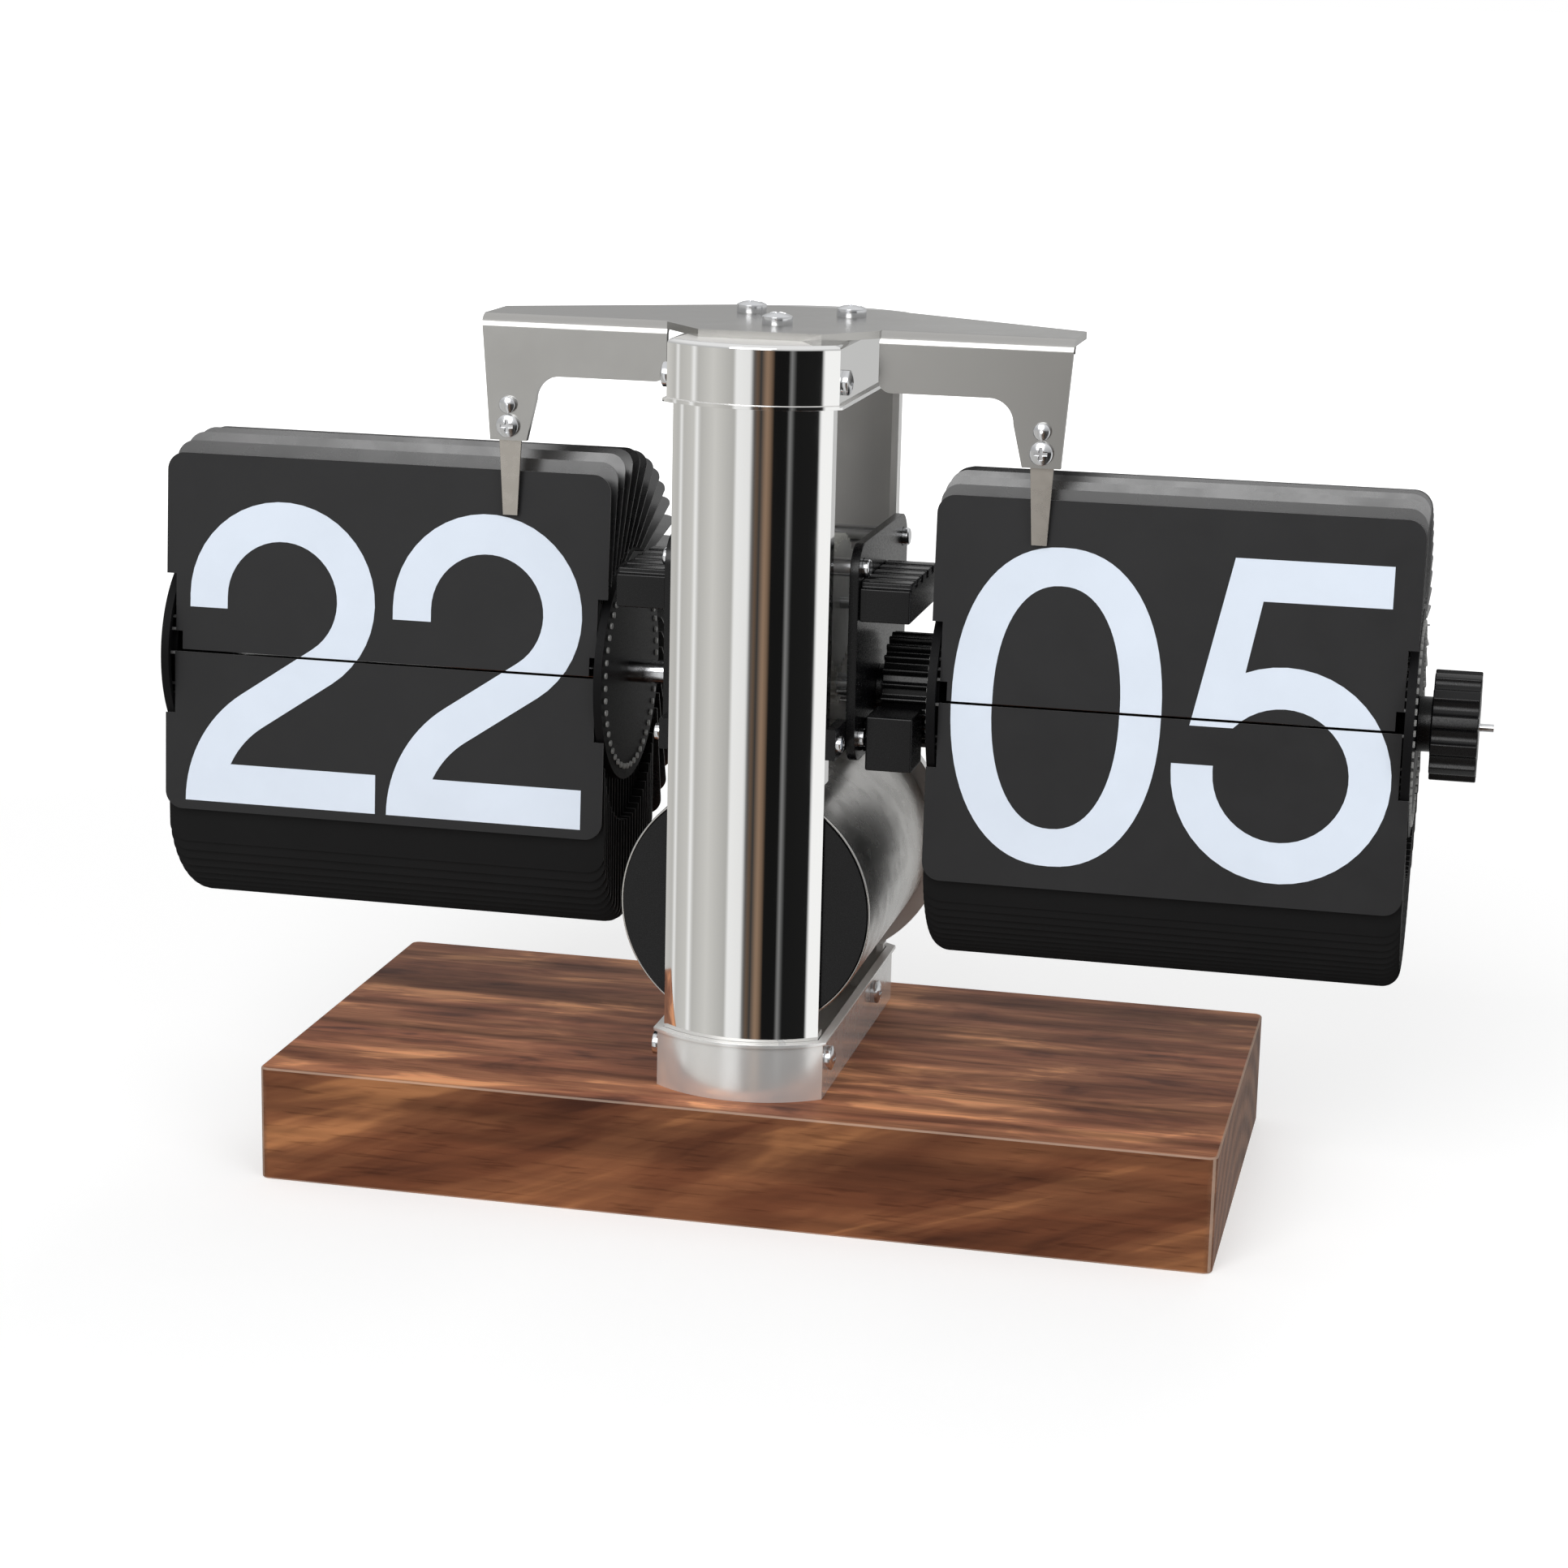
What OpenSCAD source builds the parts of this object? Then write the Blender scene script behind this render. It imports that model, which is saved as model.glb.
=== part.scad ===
// Desk flip clock: two split-flap drums on a chrome stand with a wooden base.
// Millimetres, +Z up, +Y to the back, origin in the middle of the base's underside.

/* [Base] */
// Width of the wooden base
base_w = 160; // [140:1:190]
// Depth of the wooden base
base_d = 80; // [78:1:100]
// Thickness of the wooden base
base_h = 19.5; // [16:0.5:26]
// Radius of the base's upright corners
base_corner_r = 1.5; // [1:0.5:8]

/* [Stand] */
// Width of the two bowed columns
stand_w = 26; // [25:0.5:28]
// Depth over both columns
stand_d = 67; // [66:0.5:70]
// Height of the bow of a column's face
column_bow = 4.5; // [3.5:0.25:6]
// Sheet thickness of the columns
column_t = 1.2; // [0.8:0.1:1.5]
// Depth of the straight returns behind the bow
column_return = 3; // [2:0.25:3.5]
// Top of the columns above the table
column_top = 141.5; // [136:0.5:150]
// Height of the foot and cap bands
band_h = 10; // [8:0.5:12]
// Sheet thickness of the bands
band_t = 1; // [0.8:0.1:1.4]
// Thickness of the band's closing plate
band_web = 1.5; // [1.2:0.1:2]
// Height and stand-out of the rolled lip on a band
band_lip = 0.6; // [0.4:0.1:1]

/* [Cross arm] */
// Sheet thickness of the cross arm
arm_t = 1.2; // [0.8:0.1:1.5]
// Outer radius of the bend between the arm's plate and its flanges
arm_bend = 2.4; // [1.8:0.1:3]
// Half span of the cross arm
arm_half = 48.8; // [46:0.2:54]
// Depth of the arm's front flange
arm_flange = 9.8; // [8:0.2:11]
// Drop of the outer legs below the flange
arm_leg = 10.8; // [9:0.2:11.2]
// Width of a leg at its foot
leg_foot_w = 6.2; // [5:0.2:8]
// Distance of a retaining finger from the middle
finger_x = 44.2; // [43:0.2:46]
// Free length of a finger below the leg
finger_len = 12.6; // [10:0.2:14]
// Sheet thickness of a finger
finger_t = 0.4; // [0.3:0.05:0.5]

/* [Drums] */
// Height of the drum shafts above the table
axis_z = 83; // [80:0.5:86]
// Shaft diameter
shaft_d = 4; // [3:0.2:5]
// Distance from the middle to the near edge of the flaps
flap_near = 27.3; // [27:0.1:30]
// Width of a flap
flap_w = 77.8; // [70:0.2:80]
// Length of a flap from its pins to its free edge
flap_reach = 30.1; // [28:0.1:31]
// Length of a flap from its pins to the dividing line
flap_tail = 3.4; // [3:0.1:3.8]
// Sheet thickness of a flap
flap_t = 0.25; // [0.15:0.01:0.3]
// Corner radius of a flap
flap_corner = 3; // [1.5:0.25:4]
// Radius of the circle of flap pins
hinge_r = 16.4; // [16:0.1:17]
// Radius of the end discs
disc_r = 18.6; // [18.2:0.1:19]
// Thickness of the end discs
disc_t = 1.4; // [1.2:0.05:1.5]
// Number of hour flaps on the drum
hour_count = 48; // [36:12:48]
// Number of minute flaps on the drum
minute_count = 60; // [48:12:60]
// Height of the hour drum's lower front flap's free edge
hour_drop_z = 57.5; // [56:0.5:60]
// Height of the minute drum's lower front flap's free edge
minute_drop_z = 55.3; // [54:0.5:58]

/* [Digits] */
// Height of a digit
digit_h = 52; // [48:0.5:53]
// Width of a digit
digit_w = 34.2; // [30:0.2:35]
// Width of a digit's stroke
digit_stroke = 6.7; // [5:0.1:7.5]
// Distance from digit middle to digit middle
digit_pitch = 36.2; // [36:0.1:37]
// Thickness of the print
print_t = 0.08; // [0.05:0.01:0.1]

/* [Knob] */
// Diameter of the setting knob
knob_d = 18; // [15:0.5:22]
// Length of the setting knob
knob_len = 7.5; // [6:0.5:10]
// Number of grip flutes
knob_flutes = 12; // [8:1:14]
// Length of the shaft's thin end beyond the knob
tip_len = 2.3; // [1:0.1:4]

/* [Battery] */
// Outer radius of the battery barrel
barrel_r = 20.4; // [19.8:0.1:20.8]
// Wall of the battery barrel
barrel_wall = 2; // [1.9:0.1:2.2]
// Height of the barrel's axis above the table
barrel_z = 50.5; // [50:0.1:50.7]
// Diameter of the battery cell
cell_d = 33.6; // [33:0.1:34]
// Length of the battery cell with its pip
cell_len = 61.5; // [60:0.5:61.5]

/* [Gear train] */
// Teeth on the minute pinion
minute_teeth = 10; // [10]
// Teeth on the lay gear
lay_teeth = 40; // [40]
// Teeth on the lay pinion
lay_pinion_teeth = 8; // [8]
// Teeth on the hour gear
hour_teeth = 48; // [48]
// Distance between the drum shafts and the lay shaft
gear_centres = 14; // [13.5:0.1:14.5]
// Thickness of the gearbox plates
plate_t = 1.5; // [1.2:0.1:2]
// Distance from the middle to the inside of an outer gearbox plate
gearbox_half = 14.6; // [14.4:0.1:15]

/* [Fits] */
// Radial clearance of a shaft in its bearing
run_fit = 0.05; // [0.02:0.01:0.08]
// Clearance between pieces that are set into each other
seat_fit = 0.1; // [0.05:0.01:0.2]

/* [Hidden] */
$fn = 64;
eps = 0.01;

chrome = [0.78, 0.78, 0.8];
steel = [0.62, 0.63, 0.65];
black = [0.07, 0.07, 0.075];
flap_black = [0.12, 0.12, 0.125];
digit_white = [0.87, 0.91, 0.97];
walnut = [0.36, 0.2, 0.12];
brass = [0.75, 0.6, 0.3];

bow_r = (stand_w * stand_w / 4 + column_bow * column_bow) / (2 * column_bow);
foot_floor = base_h + band_web;
cap_bottom = column_top + band_web - band_h;
arm_plate_z = column_top + band_web;

// Flap fan: angle of the pins of the front flap above the drum's middle, and its lean
front_pin_angle = 18.5;
front_lean = 4;
front_pin_y = -hinge_r * cos(front_pin_angle);
front_pin_z = axis_z + hinge_r * sin(front_pin_angle);
split_z = front_pin_z - flap_tail * cos(front_lean);
split_y = front_pin_y - flap_tail * sin(front_lean);
flap_mid = flap_near + flap_w / 2;
notch_gap = 0.3;
notch_in = disc_t + notch_gap;
notch_len = 9.5;
lower_notch = 10.4;
pin_r = 0.28;
pin_len = 0.8;
groove_depth = 0.8;
groove_in_w = 1.7;
groove_out_w = 1.2;
groove_in = hinge_r - groove_in_w;
groove_out = hinge_r + groove_out_w;
tail_inset = 1.2;
split_gap = 0.35;
split_step = 0.4;
lower_slant = 1.4;
lower_top_y = split_y - split_step;
lower_top_z = split_z - split_gap;
lower_foot_y = lower_top_y - lower_slant;

// Upper fan stops where a flap hangs straight down behind the drum
hour_pitch = 360 / hour_count;
minute_pitch = 360 / minute_count;
rear_hang = 168;
first_hang = 197;
last_hang = 345;

// The arm stands so far forward that the tips of its fingers clear the front flaps' faces
arm_end_d = 13.8;
arm_root_d = 34.3;
arm_clear = 3.5;
finger_gap = 0.6;
finger_hold = 7.5;
finger_root_w = 3.8;
finger_tip_w = 2.5;
leg_z = arm_plate_z + arm_t - arm_flange - arm_leg;
finger_top = leg_z + finger_hold;
flap_at_tip_y = front_pin_y + (leg_z - finger_len - front_pin_z) * tan(front_lean) - flap_t / 2;
arm_front = flap_at_tip_y - finger_gap - finger_t - arm_t;
arm_back_out = arm_front + arm_end_d;
arm_back_in = arm_front + arm_root_d;
arm_root = stand_w / 2 + band_t + arm_clear;

barrel_bore = barrel_r - barrel_wall;
barrel_set_back = 0.8;
barrel_front = -stand_d / 2 + column_bow + barrel_set_back;
barrel_face = 1.2;
contact_t = 0.6;
cell_front = barrel_front + barrel_face + contact_t;
cell_back = cell_front + cell_len;
cap_t = 2;
cap_plug = 6;
barrel_back = cell_back + contact_t;
contact_d = 16;
lug_angle = 40;
lug_h = 1;
lug_t = 2;
lug_play = 0.3;
lug_play_angle = 3;
lug_root = 0.5;
cap_turn = 60;
sleeve_t = 0.5;
sleeve_step = 0.4;
sleeve_gap = 0.3;
ring_t = 2.5;
ring_w = 3;

module bowed(w, d, r) {
    for (side = [0, 180])
        rotate(side)
            intersection() {
                translate([-w / 2, -d / 2]) square([w, d / 2 + eps]);
                translate([0, r - d / 2]) circle(r = r, $fn = 128);
            }
}

module rounded_block(w, d, h, r) {
    linear_extrude(h) {
        square([w - 2 * r, d], center = true);
        square([w, d - 2 * r], center = true);
        for (x = [-1, 1], y = [-1, 1])
            translate([x * (w / 2 - r), y * (d / 2 - r)]) circle(r = r);
    }
}

slot_share = 0.55;
slot_w = 0.5;
slot_depth = 0.8;

// Pan-head screw with its head on top of z = 0 and its thread below
module pan_screw(head_d, head_h, thread_d, thread_len, slot = true) {
    difference() {
        intersection() {
            cylinder(d = head_d, h = head_h);
            translate([0, 0, head_h - head_d]) sphere(r = head_d);
        }
        if (slot)
            for (a = [0, 90])
                rotate(a)
                    translate([0, 0, head_h])
                        cube([head_d * slot_share, slot_w, slot_depth], center = true);
    }
    translate([0, 0, -thread_len]) cylinder(d = thread_d, h = thread_len + eps);
}

// Base

base_screw_inset = 14;
base_screw_y = stand_d / 2 - base_screw_inset;
base_screw_d = 3;
base_head_d = 6;
base_head_room = 1;
base_head_h = 2.4;
base_sink = 6;

module wood_base() {
    color(walnut)
    difference() {
        rounded_block(base_w, base_d, base_h, base_corner_r);
        for (y = [-1, 1])
            translate([0, y * base_screw_y, -eps]) {
                cylinder(d = base_screw_d + 2 * seat_fit, h = base_h + 2 * eps);
                cylinder(d = base_head_d + base_head_room, h = base_sink + eps);
            }
    }
}

module base_screws() {
    color(steel)
    for (y = [-1, 1])
        translate([0, y * base_screw_y, base_sink])
            rotate([180, 0, 0])
                pan_screw(base_head_d, base_head_h, base_screw_d, foot_floor - base_sink, false);
}

// Foot, columns and cap

side_screw_inset = 2;
rear_screw_forward = 15;
side_screw_y = stand_d / 2 - column_bow - side_screw_inset;
rear_side_screw_y = side_screw_y - rear_screw_forward;
side_screw_d = 2;
side_hole_len = 8;
side_head_d = 4;
side_head_h = 1.6;

module band(height, lip_at) {
    difference() {
        union() {
            linear_extrude(height) bowed(stand_w + 2 * band_t, stand_d + 2 * band_t, bow_r + band_t);
            translate([0, 0, lip_at])
                linear_extrude(band_lip)
                    bowed(stand_w + 2 * (band_t + band_lip), stand_d + 2 * (band_t + band_lip),
                        bow_r + band_t + band_lip);
        }
        translate([0, 0, -eps])
            linear_extrude(height + 2 * eps)
                bowed(stand_w + 2 * seat_fit, stand_d + 2 * seat_fit, bow_r + seat_fit);
    }
}

module side_screw_places(z) {
    for (side = [-1, 1], y = [-side_screw_y, rear_side_screw_y])
        translate([side * (stand_w / 2 + band_t), y, z])
            rotate([0, side * 90, 0]) children();
}

foot_screw_up = 6.5;
cap_screw_up = 4;
foot_screw_z = base_h + foot_screw_up;
cap_screw_z = cap_bottom + cap_screw_up;

module foot_frame() {
    color(chrome)
    difference() {
        union() {
            translate([0, 0, base_h]) band(band_h, band_h - band_lip);
            translate([0, 0, base_h])
                linear_extrude(band_web)
                    bowed(stand_w + band_t, stand_d + band_t, bow_r + band_t / 2);
        }
        for (y = [-1, 1])
            translate([0, y * base_screw_y, base_h - eps])
                cylinder(d = base_screw_d + 2 * seat_fit, h = band_web + 2 * eps);
        side_screw_places(foot_screw_z)
            cylinder(d = side_screw_d + 2 * seat_fit, h = side_hole_len, center = true);
    }
}

module side_screws(z) {
    color(steel)
    side_screw_places(z) pan_screw(side_head_d, side_head_h, side_screw_d, band_t + column_t);
}

module foot_screws() { side_screws(foot_screw_z); }

module cap_screws() { side_screws(cap_screw_z); }

module column_sheet() {
    difference() {
        bowed(stand_w, stand_d, bow_r);
        bowed(stand_w - 2 * column_t, stand_d - 2 * column_t, bow_r - column_t);
        column_edge = stand_d / 2 - column_bow - column_return;
        translate([-stand_w, -column_edge]) square([2 * stand_w, stand_d]);
    }
}

return_clear = 1;
return_cut_top = barrel_z + barrel_r + sleeve_t + return_clear;
return_cut_foot = base_h + band_h + return_clear;
return_keep = 0.2;

module column() {
    difference() {
        translate([0, 0, foot_floor]) linear_extrude(column_top - foot_floor) column_sheet();
        translate([-stand_w, -stand_d / 2 + column_bow + return_keep, return_cut_foot])
            cube([2 * stand_w, column_return + return_clear, return_cut_top - return_cut_foot]);
        for (side = [-1, 1], spot = [[gearbox_foot_y, gearbox_foot_z], [side_screw_y, foot_screw_z],
            [side_screw_y, cap_screw_z]])
            translate([side * stand_w / 2, -spot[0], spot[1]])
                rotate([0, 90, 0])
                    cylinder(d = side_screw_d + 2 * seat_fit, h = side_hole_len, center = true);
    }
}

module front_column() { color(chrome) column(); }

module rear_column() {
    ring_y = stand_d / 2 - column_bow - ring_t;
    color(chrome)
    difference() {
        union() {
            rotate(180) column();
            translate([0, ring_y, barrel_z])
                rotate([-90, 0, 0]) cylinder(r = barrel_r + ring_w, h = ring_t, $fn = 128);
        }
        translate([0, 0, barrel_z])
            rotate([-90, 0, 0]) cylinder(r = barrel_r + seat_fit, h = stand_d, $fn = 128);
    }
}

arm_screw_front = 13;
arm_screw_side = 8.5;
arm_screw_back = 5;
arm_screw_spots = [[0, -arm_screw_front], [-arm_screw_side, arm_screw_back], [arm_screw_side, arm_screw_back]];
arm_screw_d = 2.6;
arm_head_d = 5;
arm_head_h = 2;

module top_cap() {
    color(chrome)
    difference() {
        union() {
            translate([0, 0, cap_bottom]) band(band_h, 0);
            translate([0, 0, column_top])
                linear_extrude(band_web)
                    bowed(stand_w + band_t, stand_d + band_t, bow_r + band_t / 2);
        }
        for (spot = arm_screw_spots)
            translate([spot[0], spot[1], column_top - eps])
                cylinder(d = arm_screw_d + 2 * seat_fit, h = band_web + 2 * eps);
        side_screw_places(cap_screw_z)
            cylinder(d = side_screw_d + 2 * seat_fit, h = side_hole_len, center = true);
    }
}

// Cross arm with its two legs, and the fingers that hold the flaps back

leg_top_w = 9.3;
leg_fillet = 4;
leg_slant = 1.5;
flange_corner = 2;
plate_set_back = 8;
plate_front_in = 3;
plate_back_in = 1;
plate_front = -stand_d / 2 + plate_set_back;

module arm_half_plan() {
    polygon([[0, plate_front], [stand_w / 2 - plate_front_in, plate_front], [arm_root, arm_front],
        [arm_half, arm_front], [arm_half, arm_back_out], [stand_w / 2 - plate_back_in, arm_back_in],
        [0, arm_back_in]]);
}

module arm_face() {
    inner = arm_half - leg_top_w;
    difference() {
        union() {
            polygon([[arm_root, 0], [arm_half, 0], [arm_half - leg_slant, -arm_flange - arm_leg],
                [arm_half - leg_slant - leg_foot_w, -arm_flange - arm_leg], [inner, -arm_flange - leg_fillet],
                [inner - leg_fillet, -arm_flange - leg_fillet], [inner - leg_fillet, -arm_flange],
                [arm_root + flange_corner, -arm_flange], [arm_root, -arm_flange + flange_corner]]);
            translate([arm_root + flange_corner, -arm_flange + flange_corner]) circle(r = flange_corner);
        }
        translate([inner - leg_fillet, -arm_flange - leg_fillet]) circle(r = leg_fillet);
    }
}

// What lies outside the round of a bend with this radius, along one flange
module bend_corner(r, beyond = 0) {
    translate([arm_root - beyond, 0, 0])
        rotate([90, 0, 90])
            linear_extrude(arm_half - arm_root + 2 * beyond)
                difference() {
                    translate([0, -r]) square(r);
                    translate([r, -r]) circle(r = r);
                }
}

finger_screw_up = 2.4;
finger_rivet_up = 5.9;
finger_fix_z = [leg_z + finger_screw_up, leg_z + finger_rivet_up];
finger_screw_d = 1.6;
finger_head_d = 3.8;
rivet_head_d = 2.8;
finger_head_h = 1.2;

module cross_arm() {
    color(chrome)
    difference() {
        union() {
            for (side = [0, 1])
                mirror([side, 0, 0]) {
                    translate([0, 0, arm_plate_z]) linear_extrude(arm_t) arm_half_plan();
                    translate([0, arm_front + arm_t, arm_plate_z + arm_t])
                        rotate([90, 0, 0]) linear_extrude(arm_t) arm_face();
                    translate([0, arm_front + arm_t - eps, arm_plate_z + eps]) bend_corner(arm_bend - arm_t);
                }
        }
        for (side = [0, 1])
            mirror([side, 0, 0])
                translate([0, arm_front - eps, arm_plate_z + arm_t + eps]) bend_corner(arm_bend, eps);
        for (spot = arm_screw_spots)
            translate([spot[0], spot[1], arm_plate_z - eps])
                cylinder(d = arm_screw_d + 2 * seat_fit, h = arm_t + 2 * eps);
        for (side = [-1, 1], z = finger_fix_z)
            translate([side * finger_x, arm_front - eps, z])
                rotate([-90, 0, 0]) cylinder(d = finger_screw_d + 2 * seat_fit, h = arm_t + 2 * eps);
    }
}

module arm_screws() {
    color(steel)
    for (spot = arm_screw_spots)
        translate([spot[0], spot[1], arm_plate_z + arm_t])
            pan_screw(arm_head_d, arm_head_h, arm_screw_d, arm_t + band_web);
}

module finger(side) {
    color(steel)
    translate([side * finger_x, arm_front + arm_t + finger_t, 0])
        rotate([90, 0, 0])
            linear_extrude(finger_t)
                difference() {
                    polygon([[-finger_root_w / 2, finger_top], [finger_root_w / 2, finger_top],
                        [finger_root_w / 2, leg_z], [finger_tip_w / 2, leg_z - finger_len],
                        [-finger_tip_w / 2, leg_z - finger_len], [-finger_root_w / 2, leg_z]]);
                    for (z = finger_fix_z)
                        translate([0, z]) circle(d = finger_screw_d + 2 * seat_fit);
                }
}

module left_finger() { finger(-1); }

module right_finger() { finger(1); }

module finger_fixings(z, head_d, slot) {
    color(steel)
    for (side = [-1, 1])
        translate([side * finger_x, arm_front, z])
            rotate([90, 0, 0]) pan_screw(head_d, finger_head_h, finger_screw_d, arm_t + finger_t, slot);
}

module finger_screws() { finger_fixings(finger_fix_z[0], finger_head_d, true); }

module finger_rivets() { finger_fixings(finger_fix_z[1], rivet_head_d, false); }

// Battery barrel between the columns, loaded from behind

module along_y(y) {
    translate([0, y, barrel_z]) rotate([-90, 0, 0]) children();
}

lug_set_back = 0.5;
groove_y = barrel_back - cap_plug + lug_set_back;

module battery_barrel() {
    color(black)
    difference() {
        along_y(barrel_front) cylinder(r = barrel_r, h = barrel_back - barrel_front, $fn = 128);
        along_y(barrel_front + barrel_face)
            cylinder(r = barrel_bore, h = barrel_back - barrel_front, $fn = 128);
        along_y(groove_y) cylinder(r = barrel_bore + lug_h + lug_play, h = lug_t + 2 * lug_play, $fn = 128);
        for (a = [0, 180])
            along_y(groove_y)
                rotate(a + cap_turn - lug_angle / 2 - lug_play_angle)
                    rotate_extrude(angle = lug_angle + 2 * lug_play_angle)
                        translate([barrel_bore - lug_root, 0]) square([lug_root + lug_h + lug_play, cap_plug]);
    }
}

module barrel_sleeve() {
    sleeve_front = barrel_front + sleeve_step;
    sleeve_back = stand_d / 2 - column_bow - ring_t - sleeve_gap;
    color(chrome)
    difference() {
        along_y(sleeve_front) cylinder(r = barrel_r + sleeve_t, h = sleeve_back - sleeve_front, $fn = 128);
        along_y(sleeve_front - eps)
            cylinder(r = barrel_r + run_fit, h = sleeve_back - sleeve_front + 2 * eps, $fn = 128);
    }
}

cell_room = 0.4;
coin_slot_len = 24.5;
coin_slot_w = 2.4;
coin_slot_depth = 1.2;

module battery_cap() {
    plug_r = barrel_bore - lug_play;
    color(black)
    difference() {
        union() {
            along_y(barrel_back) cylinder(r = barrel_r, h = cap_t, $fn = 128);
            along_y(barrel_back - cap_plug) cylinder(r = plug_r, h = cap_plug + eps, $fn = 128);
            for (a = [0, 180])
                along_y(groove_y + lug_play)
                    rotate(a - lug_angle / 2)
                        rotate_extrude(angle = lug_angle)
                            translate([plug_r - lug_root, 0]) square([lug_root + lug_h, lug_t]);
        }
        along_y(barrel_back - cap_plug - eps)
            cylinder(r = cell_d / 2 + cell_room, h = cap_plug + eps, $fn = 128);
        along_y(barrel_back + cap_t - coin_slot_depth)
            translate([-coin_slot_len / 2, -coin_slot_w / 2, 0])
                cube([coin_slot_len, coin_slot_w, coin_slot_depth + eps]);
    }
}

pip_d = 9.5;
pip_h = 1.5;

module battery_cell() {
    color([0.35, 0.36, 0.38]) {
        along_y(cell_front + pip_h) cylinder(d = cell_d, h = cell_len - pip_h, $fn = 96);
        along_y(cell_front) cylinder(d = pip_d, h = pip_h + eps);
    }
}

module front_contact() {
    color(brass)
    along_y(barrel_front + barrel_face) cylinder(d = contact_d, h = contact_t);
}

module rear_contact() {
    color(brass)
    along_y(cell_back) cylinder(d = contact_d, h = contact_t);
}

// Gearbox between the drums

plate_y = 21;
plate_below = 9;
plate_above = 27;
plate_low = axis_z - plate_below;
plate_high = axis_z + plate_above;
plate_corner = 5;
spacer_d = 3;
spacer_proud = 1.2;
spacer_inset = 4;
spacer_y = plate_y - spacer_inset;
spacer_spots = [for (y = [-1, 1], z = [plate_low + spacer_inset, plate_high - spacer_inset]) [y * spacer_y, z]];
centre_t = 3;
pinion_d = shaft_d - 1;
lay_z = axis_z + gear_centres;
lay_d = 2;
foot_screw_inset = 1.5;
foot_screw_rise = 5;
gearbox_foot_y = stand_d / 2 - column_bow - foot_screw_inset;
gearbox_foot_z = plate_low + foot_screw_rise;

module plate_plan() {
    translate([-plate_y + plate_corner, plate_low])
        square([2 * (plate_y - plate_corner), plate_high - plate_low]);
    translate([-plate_y, plate_low + plate_corner])
        square([2 * plate_y, plate_high - plate_low - 2 * plate_corner]);
    for (y = [-1, 1], z = [plate_low + plate_corner, plate_high - plate_corner])
        translate([y * (plate_y - plate_corner), z]) circle(r = plate_corner);
}

// Draws a plan of Y and Z upright, from x towards +X
module upright(x, t) {
    translate([x, 0, 0]) rotate([90, 0, 90]) linear_extrude(t) children();
}

module along_x(x, z) {
    translate([x, 0, z]) rotate([0, 90, 0]) children();
}

bearing_wall = 2;

// Hole right through a plate and its bearing
module plate_bore(x, y, z, d) {
    translate([x, y, z]) rotate([0, 90, 0]) cylinder(d = d, h = 2 * gearbox_half, center = true);
}

module gear_plate(x, t, bearing_len) {
    color(black)
    difference() {
        union() {
            upright(x, t) plate_plan();
            translate([x, 0, axis_z])
                rotate([0, bearing_len < 0 ? -90 : 90, 0])
                    cylinder(d = shaft_d + 2 * bearing_wall, h = abs(bearing_len));
        }
        plate_bore(x, 0, axis_z, shaft_d + 2 * run_fit);
        plate_bore(x, 0, lay_z, lay_d + 2 * run_fit);
        for (spot = spacer_spots)
            plate_bore(x, spot[0], spot[1], spacer_d + 2 * seat_fit);
    }
}

bearing_out = 1.5;

module gearbox_left_plate() { gear_plate(-gearbox_half - plate_t, plate_t, -bearing_out); }

// The two drum shafts end in this plate, each in its own bore
module gearbox_centre_plate() {
    color(black)
    difference() {
        upright(-centre_t / 2, centre_t) plate_plan();
        along_x(-centre_t / 2 - eps, axis_z) cylinder(d = shaft_d + 2 * run_fit, h = centre_t / 2 + eps);
        along_x(-eps, axis_z) cylinder(d = pinion_d + 2 * run_fit, h = centre_t);
        plate_bore(0, 0, lay_z, lay_d + 2 * run_fit);
        for (spot = spacer_spots)
            plate_bore(0, spot[0], spot[1], spacer_d + 2 * seat_fit);
    }
}

module gearbox_right_plate() { gear_plate(gearbox_half, plate_t, plate_t + bearing_out); }

module gearbox_spacers() {
    half = gearbox_half + plate_t;
    color(steel)
    for (spot = spacer_spots)
        translate([-half - spacer_proud, spot[0], spot[1]])
            rotate([0, 90, 0]) cylinder(d = spacer_d, h = 2 * (half + spacer_proud));
}

foot_gap = 1.4;
foot_past_screw = 1.4;
foot_h = 5;
gearbox_head_d = 2.7;
gearbox_head_h = 1.2;

// Blocks and screws that hold the outer plates to the columns' returns, clear of the spacers
module gearbox_feet() {
    foot_w = gearbox_half - stand_w / 2;
    foot_in = spacer_y + spacer_d / 2 + foot_gap;
    foot_out = gearbox_foot_y + foot_past_screw;
    color(black)
    for (side = [-1, 1], end = [-1, 1])
        difference() {
            translate([side * (gearbox_half - foot_w / 2), end * (foot_in + foot_out) / 2, gearbox_foot_z])
                cube([foot_w, foot_out - foot_in, foot_h], center = true);
            translate([side * stand_w / 2, end * gearbox_foot_y, gearbox_foot_z])
                rotate([0, 90, 0])
                    cylinder(d = side_screw_d + 2 * seat_fit, h = side_hole_len, center = true);
        }
}

module gearbox_screws() {
    color(steel)
    for (side = [-1, 1], end = [-1, 1])
        translate([side * gearbox_half, end * gearbox_foot_y, gearbox_foot_z])
            rotate([0, side * 90, 0])
                pan_screw(gearbox_head_d, gearbox_head_h, side_screw_d, gearbox_half - stand_w / 2 + column_t);
}

motor_w = 9.2;
motor_d = 9;
motor_h = 9;
motor_room = 1.2;
motor_drop = 1;
motor_lug = 4;
lug_inset = 2;
run_gap = 0.3;
drum_gap = 1;
sleeve_x = gearbox_half + plate_t + bearing_out + run_gap;
sleeve_len = flap_near - sleeve_x - drum_gap;
drive_r = 9;
drive_ridges = 24;
ridge_h = 0.6;

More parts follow.
